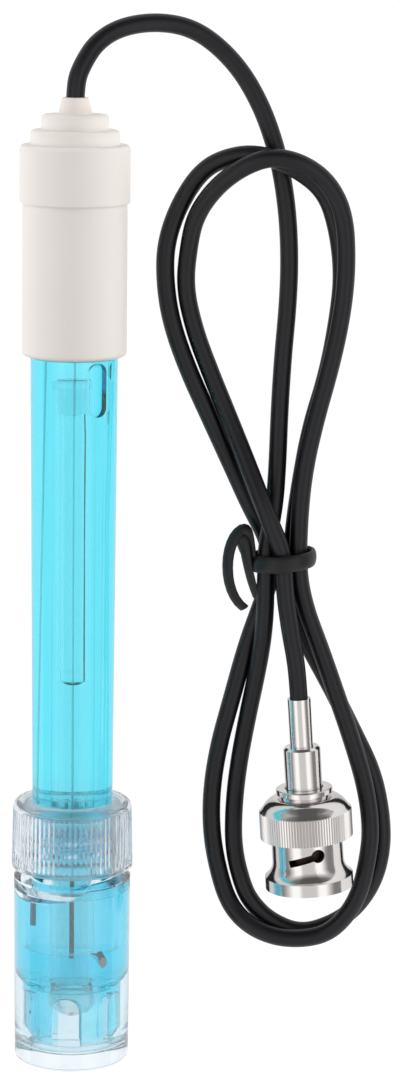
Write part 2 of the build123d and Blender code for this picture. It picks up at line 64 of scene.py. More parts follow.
def add(material, kind, inputs=None, **settings):
    """A new node. Settings are its own; inputs are values or outputs to link, by socket name or place."""
    node = material.node_tree.nodes.new(kind)
    for name, value in settings.items():
        setattr(node, name, value)
    for socket, value in (inputs or {}).items():
        if isinstance(value, bpy.types.NodeSocket):
            material.node_tree.links.new(value, node.inputs[socket])
        else:
            node.inputs[socket].default_value = value
    return node


weld_gap = 0.002 * mm
crease_angle = radians(30)


def dress(name, material, swell=0.0):
    """Gives a solid its finish, smooth up to its creases, and swells a filling that wets its walls."""
    piece = nodes[name]
    piece.data.materials.clear()
    piece.data.materials.append(material)
    piece.data.shade_smooth()
    piece.modifiers.new("closed", "WELD").merge_threshold = weld_gap
    if swell:
        swelling = piece.modifiers.new("wetting", "DISPLACE")
        swelling.mid_level = 0
        swelling.strength = swell
    piece.modifiers.new("creases", "EDGE_SPLIT").split_angle = crease_angle
    return piece


draw_wave = 6 * mm
glass = new_material("drawn soda glass")
place = add(glass, "ShaderNodeTexCoord").outputs["Object"]
drawn = add(glass, "ShaderNodeMapping", {"Vector": place, "Scale": (1, 0.1, 1)}).outputs["Vector"]
waves = add(glass, "ShaderNodeTexNoise", {
    "Vector": drawn, "Scale": 1 / draw_wave, "Detail": 1,
}).outputs["Fac"]
relief = add(glass, "ShaderNodeBump", {"Height": waves, "Strength": 0.3, "Distance": 0.02 * mm})

# Where two clear pieces touch, light bends only by the ratio of their two indices. The glass's face bends
# it by that ratio, and the face of the gel, the buffer or the end wall that lies on it lets it through.
# Heights are measured along the stem from the foot of the bottle.
base = next(m for m in frame["record"]["mounts"] if m["name"] == "bottle_base")
stem_foot = Vector(base["pos_m"])
stem_axis = -Vector(base["axis"])
stem_radius = 2.25 * mm
stem_bore = 1.6 * mm
shell_depth = 0.2 * mm
gel_heights = (18.0 * mm, 105.4 * mm)
buffer_heights = (11.9 * mm, 60.45 * mm)
wall_heights = (13.25 * mm, 17.95 * mm)
glass_index = 1.46
gel_index = 1.45
buffer_index = 1.43
body_index = 1.585
unbent = 1.001


def on_shell(material, radius, heights):
    """1 on faces at this radius round the stem's axis and between two heights, and 0 elsewhere."""
    low, high = heights
    place = add(material, "ShaderNodeTexCoord").outputs["Object"]
    offset = add(material, "ShaderNodeVectorMath", {
        0: place, 1: stem_foot,
    }, operation="SUBTRACT").outputs[0]
    across = add(material, "ShaderNodeVectorMath", {
        0: offset, 1: stem_axis,
    }, operation="CROSS_PRODUCT").outputs[0]
    across = add(material, "ShaderNodeVectorMath", {0: across}, operation="LENGTH").outputs["Value"]
    along = add(material, "ShaderNodeVectorMath", {
        0: offset, 1: stem_axis,
    }, operation="DOT_PRODUCT").outputs["Value"]
    near = add(material, "ShaderNodeMath", {
        0: across, 1: radius, 2: shell_depth,
    }, operation="COMPARE").outputs[0]
    between = add(material, "ShaderNodeMath", {
        0: along, 1: (low + high) / 2, 2: (high - low) / 2,
    }, operation="COMPARE").outputs[0]
    return add(material, "ShaderNodeMath", {0: near, 1: between}, operation="MULTIPLY").outputs[0]


bending = glass_index
for radius, heights, neighbour_index in (
    (stem_radius, gel_heights, gel_index),
    (stem_bore, buffer_heights, buffer_index),
    (stem_radius, wall_heights, body_index),
):
    bending = add(glass, "ShaderNodeMix", {
        0: on_shell(glass, radius, heights), 2: bending, 3: glass_index / neighbour_index,
    }).outputs[0]
surface = add(glass, "ShaderNodeBsdfPrincipled", {
    "Base Color": linear("f6fcfb"), "Roughness": 0.0, "IOR": bending, "Transmission Weight": 1,
    "Normal": relief.outputs["Normal"],
})
add(glass, "ShaderNodeOutputMaterial", {"Surface": surface.outputs["BSDF"]})
dress("glass_stem", glass)


# Silver electrodes: a fine drawn wire down the stem and another beside it, bright metal with die lines
# along its length.
die_line = 0.05 * mm  # coarser than the real one, so that it shows
silver = new_material("drawn silver wire")
place = add(silver, "ShaderNodeTexCoord").outputs["Object"]
lines = add(silver, "ShaderNodeMapping", {"Vector": place, "Scale": (1, 0.02, 1)}).outputs["Vector"]
grain = add(silver, "ShaderNodeTexNoise", {
    "Vector": lines, "Scale": 1 / die_line, "Detail": 2,
}).outputs["Fac"]
gloss = add(silver, "ShaderNodeMapRange", {
    "Value": grain, "To Min": 0.22, "To Max": 0.4,
}).outputs["Result"]
surface = add(silver, "ShaderNodeBsdfPrincipled", {
    "Base Color": linear("f0efec"), "Metallic": 1, "Roughness": gloss,
})
add(silver, "ShaderNodeOutputMaterial", {"Surface": surface.outputs["BSDF"]})
dress("inner_wire", silver)
dress("reference_wire", silver)


# Silver chloride ends: the coating dipped on each wire's end, a dark brown-grey crust with a matt,
# uneven skin.
crust_grain = 0.3 * mm
chloride = new_material("silver chloride crust")
place = add(chloride, "ShaderNodeTexCoord").outputs["Object"]
crust = add(chloride, "ShaderNodeTexNoise", {
    "Vector": place, "Scale": 1 / crust_grain, "Detail": 4,
}).outputs["Fac"]
shade = add(chloride, "ShaderNodeMix", {
    0: crust, 6: linear("1d1a1c"), 7: linear("43393a"),
}, data_type="RGBA").outputs[2]
relief = add(chloride, "ShaderNodeBump", {"Height": crust, "Strength": 0.6, "Distance": 0.05 * mm})
surface = add(chloride, "ShaderNodeBsdfPrincipled", {
    "Base Color": shade, "Roughness": 0.75, "Normal": relief.outputs["Normal"],
})
add(chloride, "ShaderNodeOutputMaterial", {"Surface": surface.outputs["BSDF"]})
dress("inner_element", chloride)
dress("reference_element", chloride)


# Buffer in the stem: a clear water-thin solution that fills the bulb and the lower stem. It wets the
# glass, so it reaches a little into the wall here and no air shows between the two.
wetting = 0.05 * mm
haze_size = 4 * mm
buffer = new_material("buffer solution")
place = add(buffer, "ShaderNodeTexCoord").outputs["Object"]
haze = add(buffer, "ShaderNodeTexNoise", {"Vector": place, "Scale": 1 / haze_size}).outputs["Fac"]
shade = add(buffer, "ShaderNodeMix", {
    0: haze, 6: linear("f8fdff"), 7: linear("ffffff"),
}, data_type="RGBA").outputs[2]
bending = add(buffer, "ShaderNodeMix", {
    0: on_shell(buffer, stem_bore + wetting, buffer_heights), 2: buffer_index, 3: unbent,
}).outputs[0]
surface = add(buffer, "ShaderNodeBsdfPrincipled", {
    "Base Color": shade, "Roughness": 0.0, "IOR": bending, "Transmission Weight": 1,
})
add(buffer, "ShaderNodeOutputMaterial", {"Surface": surface.outputs["BSDF"]})
dress("inner_buffer", buffer, wetting)


# Silicone seals: the stem's stopper, the ring in the end wall, the body's bung and the bottle's washer,
# moulded from clear silicone. They grip the glass and the body, with a faint haze and no air between.
skin_grain = 0.6 * mm
silicone = new_material("clear silicone rubber")
place = add(silicone, "ShaderNodeTexCoord").outputs["Object"]
skin = add(silicone, "ShaderNodeTexNoise", {
    "Vector": place, "Scale": 1 / skin_grain, "Detail": 2,
}).outputs["Fac"]
shade = add(silicone, "ShaderNodeMix", {
    0: skin, 6: linear("e9f3f5"), 7: linear("f6fbfb"),
}, data_type="RGBA").outputs[2]
surface = add(silicone, "ShaderNodeBsdfPrincipled", {
    "Base Color": shade, "Roughness": 0.08, "IOR": 1.41, "Transmission Weight": 1,
})
add(silicone, "ShaderNodeOutputMaterial", {"Surface": surface.outputs["BSDF"]})
for seal in ("stem_stopper", "tip_seal", "end_plug", "collar_seal"):
    dress(seal, silicone, wetting)


# Body tube: blue see-through polycarbonate, moulded in one with its end wall and the four prongs that
# guard the bulb. Its polished mould leaves a glassy skin, with long faint flow marks from the gate.
flow_mark = 9 * mm
polycarbonate = new_material("clear blue polycarbonate")
place = add(polycarbonate, "ShaderNodeTexCoord").outputs["Object"]
flow = add(polycarbonate, "ShaderNodeMapping", {"Vector": place, "Scale": (1, 0.12, 1)}).outputs["Vector"]
marks = add(polycarbonate, "ShaderNodeTexNoise", {
    "Vector": flow, "Scale": 1 / flow_mark, "Detail": 1,
}).outputs["Fac"]
shade = add(polycarbonate, "ShaderNodeMix", {
    0: marks, 6: linear("e6f5fd"), 7: linear("eaf7fe"),
}, data_type="RGBA").outputs[2]
bending = add(polycarbonate, "ShaderNodeMix", {
    0: on_shell(polycarbonate, stem_radius, wall_heights), 2: body_index, 3: unbent,
}).outputs[0]
surface = add(polycarbonate, "ShaderNodeBsdfPrincipled", {
    "Base Color": shade, "Roughness": 0.015, "IOR": bending, "Transmission Weight": 1,
})
depth = add(polycarbonate, "ShaderNodeVolumeAbsorption", {
    "Color": linear("00fbfe"), "Density": 0.58 / mm,
})
add(polycarbonate, "ShaderNodeOutputMaterial", {
    "Surface": surface.outputs["BSDF"], "Volume": depth.outputs["Volume"],
})
dress("body_tube", polycarbonate)


# Ceramic junction: a pin of porous unglazed ceramic, pressed slantwise through the end wall. It is
# chalky white with fine pores.
pore = 0.12 * mm  # coarser than the real one, so that it shows
ceramic = new_material("porous ceramic")
place = add(ceramic, "ShaderNodeTexCoord").outputs["Object"]
pores = add(ceramic, "ShaderNodeTexNoise", {
    "Vector": place, "Scale": 1 / pore, "Detail": 4,
}).outputs["Fac"]
shade = add(ceramic, "ShaderNodeMix", {
    0: pores, 6: linear("f4f1ea"), 7: linear("fffefc"),
}, data_type="RGBA").outputs[2]
relief = add(ceramic, "ShaderNodeBump", {"Height": pores, "Strength": 0.5, "Distance": 0.03 * mm})
surface = add(ceramic, "ShaderNodeBsdfPrincipled", {
    "Base Color": shade, "Roughness": 0.85, "Normal": relief.outputs["Normal"],
})
add(ceramic, "ShaderNodeOutputMaterial", {"Surface": surface.outputs["BSDF"]})
dress("junction_plug", ceramic)


# Electrolyte in the body: a clear gel round the stem, with one long bubble near its top. It wets the
# body and the glass alike.
gel = new_material("electrolyte gel")
place = add(gel, "ShaderNodeTexCoord").outputs["Object"]
haze = add(gel, "ShaderNodeTexNoise", {"Vector": place, "Scale": 1 / haze_size}).outputs["Fac"]
shade = add(gel, "ShaderNodeMix", {
    0: haze, 6: linear("f3fbfe"), 7: linear("fdffff"),
}, data_type="RGBA").outputs[2]
bending = add(gel, "ShaderNodeMix", {
    0: on_shell(gel, stem_radius - wetting, gel_heights), 2: gel_index, 3: unbent,
}).outputs[0]
surface = add(gel, "ShaderNodeBsdfPrincipled", {
    "Base Color": shade, "Roughness": 0.0, "IOR": bending, "Transmission Weight": 1,
})
add(gel, "ShaderNodeOutputMaterial", {"Surface": surface.outputs["BSDF"]})
dress("reference_gel", gel, wetting)


# Conductors in the cap: the lead's copper core and braid, soldered to the silver wires, and the brass
# ring crimped on the lead, all set in cream resin that was poured in last. The metals are bright and the
# resin is faintly clouded.
strand = 0.1 * mm
for metal_name, dark, light, wires in (
    ("drawn copper", "a9683f", "c98a5e", ("core_wire", "shield_wire")),
    ("turned brass", "b08d45", "cfae64", ("cable_crimp",)),
):
    metal = new_material(metal_name)
    place = add(metal, "ShaderNodeTexCoord").outputs["Object"]
    lines = add(metal, "ShaderNodeTexNoise", {
        "Vector": place, "Scale": 1 / strand, "Detail": 2,
    }).outputs["Fac"]
    shade = add(metal, "ShaderNodeMix", {
        0: lines, 6: linear(dark), 7: linear(light),
    }, data_type="RGBA").outputs[2]
    surface = add(metal, "ShaderNodeBsdfPrincipled", {
        "Base Color": shade, "Metallic": 1, "Roughness": 0.32,
    })
    add(metal, "ShaderNodeOutputMaterial", {"Surface": surface.outputs["BSDF"]})
    for wire in wires:
        dress(wire, metal)
cloud_size = 3 * mm
resin = new_material("cast cream resin")
place = add(resin, "ShaderNodeTexCoord").outputs["Object"]
clouds = add(resin, "ShaderNodeTexNoise", {
    "Vector": place, "Scale": 1 / cloud_size, "Detail": 3,
}).outputs["Fac"]
shade = add(resin, "ShaderNodeMix", {
    0: clouds, 6: linear("cfc09a"), 7: linear("e0d4b6"),
}, data_type="RGBA").outputs[2]
surface = add(resin, "ShaderNodeBsdfPrincipled", {"Base Color": shade, "Roughness": 0.25, "IOR": 1.52})
add(resin, "ShaderNodeOutputMaterial", {"Surface": surface.outputs["BSDF"]})
dress("potting", resin)


# Cap: a sleeve glued over the body and a stepped cover pressed over the sleeve's spigot, both moulded
# in warm white ABS from a finely blasted mould, which gives a soft satin skin.
blast_grain = 0.18 * mm  # coarser than the real one, so that it shows
tone_size = 14 * mm
white_abs = new_material("satin white ABS")
place = add(white_abs, "ShaderNodeTexCoord").outputs["Object"]
tone = add(white_abs, "ShaderNodeTexNoise", {
    "Vector": place, "Scale": 1 / tone_size, "Detail": 2,
}).outputs["Fac"]
shade = add(white_abs, "ShaderNodeMix", {
    0: tone, 6: linear("e6e0db"), 7: linear("eae4df"),
}, data_type="RGBA").outputs[2]
blast = add(white_abs, "ShaderNodeTexNoise", {
    "Vector": place, "Scale": 1 / blast_grain, "Detail": 2,
}).outputs["Fac"]
gloss = add(white_abs, "ShaderNodeMapRange", {
    "Value": blast, "To Min": 0.34, "To Max": 0.46,
}).outputs["Result"]
relief = add(white_abs, "ShaderNodeBump", {"Height": blast, "Strength": 0.15, "Distance": 0.01 * mm})
surface = add(white_abs, "ShaderNodeBsdfPrincipled", {
    "Base Color": shade, "Roughness": gloss, "IOR": 1.53, "Normal": relief.outputs["Normal"],
})
add(white_abs, "ShaderNodeOutputMaterial", {"Surface": surface.outputs["BSDF"]})
dress("cap_sleeve", white_abs)
dress("cap_cover", white_abs)


# Lead boot: a small grommet of soft white PVC that snaps into the cover's hole and hugs the lead. It is
# a shade warmer and duller than the cap.
soft_grain = 0.2 * mm  # coarser than the real one, so that it shows
white_pvc = new_material("soft white PVC")
place = add(white_pvc, "ShaderNodeTexCoord").outputs["Object"]
skin = add(white_pvc, "ShaderNodeTexNoise", {
    "Vector": place, "Scale": 1 / soft_grain, "Detail": 3,
}).outputs["Fac"]
shade = add(white_pvc, "ShaderNodeMix", {
    0: skin, 6: linear("e2d9d2"), 7: linear("eae2dc"),
}, data_type="RGBA").outputs[2]
surface = add(white_pvc, "ShaderNodeBsdfPrincipled", {"Base Color": shade, "Roughness": 0.5, "IOR": 1.53})
add(white_pvc, "ShaderNodeOutputMaterial", {"Surface": surface.outputs["BSDF"]})
dress("cable_boot", white_pvc)


# Storage bottle: thick clear styrene, blown with a heavy base, with a screw thread on its neck. The
# thread is a ridge that winds two and a half times round it, and the skin is glossy with faint waves.
seam_gap = 0.001 * mm
across = Vector((1, 0, 0))
upright = Matrix((across, stem_axis.cross(across), stem_axis)).transposed().to_4x4()
electrode = Matrix.Translation(stem_foot) @ upright


def piece_from(mesh, name, material, body):
    """Puts a finished bmesh into the scene as a smooth piece that rides on a body."""
    bmesh.ops.remove_doubles(mesh, verts=mesh.verts, dist=seam_gap)
    bmesh.ops.recalc_face_normals(mesh, faces=mesh.faces)
    data = bpy.data.meshes.new(name)
    mesh.to_mesh(data)
    mesh.free()
    data.materials.append(material)
    data.shade_smooth()
    piece = bpy.data.objects.new(name, data)
    bpy.context.scene.collection.objects.link(piece)
    piece.modifiers.new("creases", "EDGE_SPLIT").split_angle = crease_angle
    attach(piece, body)
    return piece


def outline(mesh, points):
    """A closed outline in the XZ plane, in millimetres, ready to spin."""
    corners = [mesh.verts.new((x * mm, 0, z * mm)) for x, z in points]
    sides = [mesh.edges.new((a, b)) for a, b in zip(corners, corners[1:] + corners[:1])]
    return corners + sides


wave_size = 5 * mm
styrene = new_material("clear styrene")
place = add(styrene, "ShaderNodeTexCoord").outputs["Object"]
waves = add(styrene, "ShaderNodeTexNoise", {
    "Vector": place, "Scale": 1 / wave_size, "Detail": 1,
}).outputs["Fac"]
shade = add(styrene, "ShaderNodeMix", {
    0: waves, 6: linear("eaf5fb"), 7: linear("f3fafd"),
}, data_type="RGBA").outputs[2]
relief = add(styrene, "ShaderNodeBump", {"Height": waves, "Strength": 0.2, "Distance": 0.02 * mm})
surface = add(styrene, "ShaderNodeBsdfPrincipled", {
    "Base Color": shade, "Roughness": 0.02, "IOR": 1.55, "Transmission Weight": 1,
    "Normal": relief.outputs["Normal"],
})
add(styrene, "ShaderNodeOutputMaterial", {"Surface": surface.outputs["BSDF"]})
dress("storage_bottle", styrene)

thread_pitch = 2.0
thread_turns = 2.5
thread_start = 32.3
neck_radius = 7.33
thread_crest = 7.92
foot_half_width = 0.6
crest_half_width = 0.2
steps_a_turn = 48
thread = bmesh.new()
ridge = outline(thread, (
    (neck_radius, thread_start - foot_half_width), (thread_crest, thread_start - crest_half_width),
    (thread_crest, thread_start + crest_half_width), (neck_radius, thread_start + foot_half_width),
))
bmesh.ops.edgeloop_fill(thread, edges=thread.edges[:])
steps = int(steps_a_turn * thread_turns)
bmesh.ops.spin(
    thread, geom=ridge + thread.faces[:], axis=(0, 0, 1), angle=2 * pi * thread_turns, steps=steps,
    dvec=(0, 0, thread_pitch * thread_turns / steps * mm),
)
bmesh.ops.transform(thread, matrix=electrode, verts=thread.verts)
piece_from(thread, "bottle_thread", styrene, "bottle")


# Storage solution: clear salt solution that fills the bottle up to a slanting surface, with an air
# pocket under the collar. It wets the bottle and the tip.
tip_wetting = 0.27 * mm
dress("storage_solution", buffer, tip_wetting)


# Solution held in the guard: the same liquid between the prongs and round the bulb, which stays with
# the tip. It is a plug the size of the guard, less the prongs, the stem and the bulb.
guard_radius = 5.2
guard_tip = 3.4
guard_roof = 11.53
guard_steps = 64


def carve(piece, cutter):
    """Cuts the cutter's shape out of a piece for good, and clears the cutter away."""
    cut = piece.modifiers.new("cut", "BOOLEAN")
    cut.operation = "DIFFERENCE"
    cut.object = cutter
    bpy.context.view_layer.update()
    result = piece.evaluated_get(bpy.context.evaluated_depsgraph_get())
    shaped = bpy.data.meshes.new_from_object(result)
    piece.modifiers.clear()
    piece.data = shaped
    bpy.data.objects.remove(cutter)


held = bmesh.new()
profile = outline(held, (
    (0, guard_tip), (guard_radius, guard_tip), (guard_radius, guard_roof), (0, guard_roof),
))
bmesh.ops.spin(held, geom=profile, axis=(0, 0, 1), angle=2 * pi, steps=guard_steps, use_merge=True)
bmesh.ops.transform(held, matrix=electrode, verts=held.verts)
held_liquid = piece_from(held, "guard_solution", buffer, "electrode")
held_liquid.modifiers.clear()
for solid in ("body_tube", "glass_stem", "inner_buffer", "tip_seal"):
    cutter = bpy.data.objects.new("cutter", nodes[solid].data.copy())
    bpy.context.scene.collection.objects.link(cutter)
    cutter.modifiers.new("closed", "WELD").merge_threshold = weld_gap
    shrink = cutter.modifiers.new("wetting", "DISPLACE")
    shrink.mid_level = 0
    shrink.strength = -wetting
    carve(held_liquid, cutter)
held_liquid.modifiers.new("creases", "EDGE_SPLIT").split_angle = crease_angle


# Screw collar: clear polypropylene with fine grip ribs all round, screwed over the neck so that it
# squeezes the washer on to the body. It is milkier than the bottle, and its ribs blur what is behind.
cloud_wave = 2 * mm
milky = new_material("milky clear polypropylene")
place = add(milky, "ShaderNodeTexCoord").outputs["Object"]
clouds = add(milky, "ShaderNodeTexNoise", {
    "Vector": place, "Scale": 1 / cloud_wave, "Detail": 2,
}).outputs["Fac"]
shade = add(milky, "ShaderNodeMix", {
    0: clouds, 6: linear("eff6fb"), 7: linear("f8fbfe"),
}, data_type="RGBA").outputs[2]
haze = add(milky, "ShaderNodeMapRange", {
    "Value": clouds, "To Min": 0.08, "To Max": 0.15,
}).outputs["Result"]
surface = add(milky, "ShaderNodeBsdfPrincipled", {
    "Base Color": shade, "Roughness": haze, "IOR": 1.45, "Transmission Weight": 0.95,
})
add(milky, "ShaderNodeOutputMaterial", {"Surface": surface.outputs["BSDF"]})
dress("bottle_collar", milky)


# Lead: a thin limp coaxial lead in matt black PVC, its whole length shown. It leaves the boot, turns to
# the right, is wound into a figure of eight and tied, and ends in the plug that lies on it. The extruded
# jacket has a dull sheen.
jacket_grain = 0.4 * mm  # coarser than the real one, so that it shows
black_pvc = new_material("matt black PVC jacket")
place = add(black_pvc, "ShaderNodeTexCoord").outputs["Object"]
skin = add(black_pvc, "ShaderNodeTexNoise", {
    "Vector": place, "Scale": 1 / jacket_grain, "Detail": 3,
}).outputs["Fac"]
shade = add(black_pvc, "ShaderNodeMix", {
    0: skin, 6: linear("0a090d"), 7: linear("121117"),
}, data_type="RGBA").outputs[2]
gloss = add(black_pvc, "ShaderNodeMapRange", {
    "Value": skin, "To Min": 0.34, "To Max": 0.46,
}).outputs["Result"]
relief = add(black_pvc, "ShaderNodeBump", {"Height": skin, "Strength": 0.15, "Distance": 0.02 * mm})
surface = add(black_pvc, "ShaderNodeBsdfPrincipled", {
    "Base Color": shade, "Roughness": gloss, "IOR": 1.42, "Normal": relief.outputs["Normal"],
})
add(black_pvc, "ShaderNodeOutputMaterial", {"Surface": surface.outputs["BSDF"]})

lead_radius = 1.4
out_of_boot = [
    (0, 73.4, 8.25), (0, 76.6, 8.21), (1, 79.3, 7.6), (3, 82.5, 6.4), (6.5, 84.7, 4.8),
    (11.5, 85.5, 3.2), (16.5, 84.8, 2), (20.5, 82.5, 1.4), (24.5, 78.5, 1.4), (27.5, 73.5, 1.4),
    (29.5, 68.5, 1.4), (31, 63, 1.4), (32, 56.5, 1.4), (32.4, 49.5, 1.4), (32.2, 42.5, 1.4),
    (31.6, 35, 1.4), (31.2, 26.5, 1.5), (31, 18, 2.2), (30.6, 12, 3.6),
]
first_lower_loop = [
    (29.5, 6.5, 5.3), (29.4, 1, 5.7), (29.4, -4.5, 4.9), (29.1, -9, 3.7), (28.4, -14, 2.4),
    (27, -21.5, 1.4), (25.7, -29, 1.4), (25, -36, 1.4), (25, -43, 1.4), (26.5, -49, 1.4),
    (28, -52, 1.4), (31, -55, 1.4), (36, -57, 1.4), (41.5, -55, 1.4), (45, -52, 1.4),
    (47.5, -47.5, 1.4), (48.5, -42, 1.4), (48, -36, 1.4), (46.5, -30, 1.4), (43.5, -24, 1.4),
    (40.5, -18, 1.4), (37.5, -12.5, 1.4), (35, -8, 1.6), (33.6, -3, 2.5),
]
first_upper_loop = [
    (33.4, 2.5, 2.85), (33.6, 8, 2.6), (34.5, 15, 1.8), (36, 24, 1.4), (38.5, 32.5, 1.4),
    (40, 41.5, 1.4), (40.5, 48, 1.4), (39.5, 55, 1.8), (37.5, 60.5, 2.9), (33, 64, 4.2), (28, 66, 4.3),
    (23.5, 65.7, 3.2), (19, 63.5, 2), (15.5, 58, 1.4), (13.5, 52, 1.4), (13.5, 46, 1.4),
    (14.5, 40, 1.4), (17, 33, 1.4), (20.5, 25.5, 1.4), (24, 18, 1.4), (27, 11.5, 1.7),
]
second_lower_loop = [
    (29.8, 6.5, 2.25), (30.6, 1.5, 2.85), (28.6, -4.5, 1.6), (26.6, -10.5, 1.4), (24.3, -19.5, 1.4),
    (22.5, -26.5, 1.4), (21.5, -33.5, 1.4), (21.5, -40, 1.4), (22.5, -46, 1.4), (24.3, -51.7, 2.3),
    (27.3, -54.9, 3.6), (31.5, -56.7, 4.2), (36, -57, 4.2), (40, -56, 4.2), (43, -53, 4.2),
    (45, -49, 4.2), (46, -44, 4.2), (46.5, -39, 4.2), (45.5, -32, 4.2), (43, -24, 4.2),
    (40.5, -17, 4.3), (38, -10, 4.3), (35.5, -3.5, 4.9),
]
second_upper_loop = [
    (34.3, 2.5, 5.6), (34.4, 10.5, 5.2), (35, 17.5, 4.5), (36.5, 25, 4.2), (39, 34.5, 4.2),
    (40.5, 42.5, 4.2), (41, 49.5, 4.3), (40.5, 57, 4.8), (38, 62, 5.8), (34, 65, 7), (29.5, 66, 7.2),
    (25, 64.3, 6.5), (21, 61, 4.5), (18, 56.5, 2.8), (17, 51.5, 1.7), (16.5, 45.5, 1.4), (18, 39, 1.4),
    (20.5, 32.5, 1.6), (23.5, 25.5, 2.6), (26.5, 18.5, 5), (29.4, 11.5, 8),
]
into_plug = [
    (32, 5.5, 7.2), (32.3, -0.5, 7.3), (33.2, -6.5, 7.25), (34.2, -11.5, 7.2), (34.64, -15.78, 7.2),
    (34.9, -19.3, 7.2),
]


def round_wire(name, points, radius):
    """A round wire on one smooth line that its control points draw, in millimetres."""
    curve = bpy.data.curves.new(name, "CURVE")
    curve.dimensions = "3D"
    curve.bevel_depth = radius * mm
    curve.bevel_resolution = 6
    curve.resolution_u = 10
    curve.use_fill_caps = True
    line = curve.splines.new("NURBS")
    line.points.add(len(points) - 1)
    for point, spot in zip(line.points, points):
        point.co = (*(Vector(spot) * mm), 1)
    line.use_endpoint_u = True
    line.order_u = 3
    line.use_smooth = True
    wire = bpy.data.objects.new(name, curve)
    bpy.context.scene.collection.objects.link(wire)
    return wire


route = out_of_boot + first_lower_loop + first_upper_loop
route += second_lower_loop + second_upper_loop + into_plug
lead = round_wire("lead", route, lead_radius)
lead.data.materials.append(black_pvc)
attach(lead, "electrode")
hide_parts("cable_lead", "cable_hank", "cable_tail")


# Twist tie: a soft steel wire in a flat black plastic ribbon with round edges. It goes once round the
# hank's waist, and its ends are crossed by hand on the left and hang down beside the lead. The coat is
# dull, with a soft shine on its bends.
coat_grain = 0.5 * mm  # coarser than the real one, so that it shows
tie_coat = new_material("black polyethylene coat")
place = add(tie_coat, "ShaderNodeTexCoord").outputs["Object"]
coat = add(tie_coat, "ShaderNodeTexNoise", {
    "Vector": place, "Scale": 1 / coat_grain, "Detail": 2,
}).outputs["Fac"]
shade = add(tie_coat, "ShaderNodeMix", {
    0: coat, 6: linear("0c0c0e"), 7: linear("161617"),
}, data_type="RGBA").outputs[2]
gloss = add(tie_coat, "ShaderNodeMapRange", {
    "Value": coat, "To Min": 0.35, "To Max": 0.5,
}).outputs["Result"]
surface = add(tie_coat, "ShaderNodeBsdfPrincipled", {
    "Base Color": shade, "Roughness": gloss, "IOR": 1.42,
})
add(tie_coat, "ShaderNodeOutputMaterial", {"Surface": surface.outputs["BSDF"]})


def ribbon(mesh, stops, width, thickness):
    """A flat ribbon with round edges, drawn from stop to stop. A stop has its place and its facing."""
    frames = []
    for index, (spot, facing) in enumerate(stops):
        ahead = (stops[min(index + 1, len(stops) - 1)][0] - stops[max(index - 1, 0)][0]).normalized()
        side = facing.cross(ahead).normalized()
        turned = Matrix((side, ahead.cross(side), ahead)).transposed().to_4x4()
        frames.append(Matrix.Translation(spot * mm) @ turned)
    section = bmesh.ops.create_circle(mesh, cap_ends=True, segments=20, radius=mm / 2)["verts"]
    bmesh.ops.scale(mesh, vec=(width, thickness, 1), verts=section)
    bmesh.ops.transform(mesh, matrix=frames[0], verts=section)
    end = section[0].link_faces[:]
    for before, after in zip(frames, frames[1:]):
        grown = bmesh.ops.extrude_face_region(mesh, geom=end)["geom"]
        end = [item for item in grown if isinstance(item, bmesh.types.BMFace)]
        corners = [item for item in grown if isinstance(item, bmesh.types.BMVert)]
        bmesh.ops.transform(mesh, matrix=after @ before.inverted(), verts=corners)


bend_steps = 12


def bend(start, first_handle, last_handle, end, first_facing, last_facing):
    """Stops along one smooth bend, with the ribbon turning evenly from one facing to another."""
    handles = [Vector(spot) for spot in (start, first_handle, last_handle, end)]
    stops = []
    for step, spot in enumerate(interpolate_bezier(*handles, bend_steps + 1)):
        stops.append((spot, Vector(first_facing).lerp(Vector(last_facing), step / bend_steps)))
    return stops


band_width = 2.6
band_thickness = 0.95
end_width = 2.0
end_thickness = 0.8
waist = Vector((32.0, 4.05, 4.85))
winding_half_width = 4.7
winding_half_height = 4.32
winding_slant = 0.1
winding_steps = 48
winding = []
for step in range(winding_steps + 1):
    turn = 2 * pi * step / winding_steps - pi / 2
    out = Vector((cos(turn), 0, sin(turn)))
    across = winding_half_width * cos(turn)
    spot = waist + Vector((across, winding_slant * across, winding_half_height * sin(turn)))
    winding.append((spot, out))
tie_mesh = bmesh.new()
ribbon(tie_mesh, winding, band_width, band_thickness)
outer_crook = (25.6, 8.8, 6.2)
outer_facing = (-0.3, 0.5, 0.8)
outer_end = bend(
    (27.3, 4.2, 6.0), (26.6, 6.5, 6.6), (26.8, 9.4, 6.8), outer_crook, (-0.6, 0, 0.8), outer_facing,
)
outer_end += bend(
    outer_crook, (22.9, 7.0, 5.2), (22.6, -1.5, 3.6), (26.2, -4.2, 2.5), outer_facing, (-0.7, 0, 0.7),
)[1:]
inner_crook = (25.6, 7.6, 6.6)
inner_facing = (-0.5, 0.4, 0.8)
inner_end = bend(
    (27.0, 3.4, 4.4), (25.8, 5.0, 4.6), (25.0, 7.6, 5.6), inner_crook, (-0.8, 0, 0.4), inner_facing,
)
inner_end += bend(
    inner_crook, (26.2, 7.4, 7.2), (26.2, 3.0, 6.4), (28.1, -2.1, 4.4), inner_facing, (-0.8, 0, 0.6),
)[1:]
for stops in (outer_end, inner_end):
    ribbon(tie_mesh, stops, end_width, end_thickness)
tie = piece_from(tie_mesh, "twist_tie", tie_coat, "electrode")
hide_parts("cable_tie")


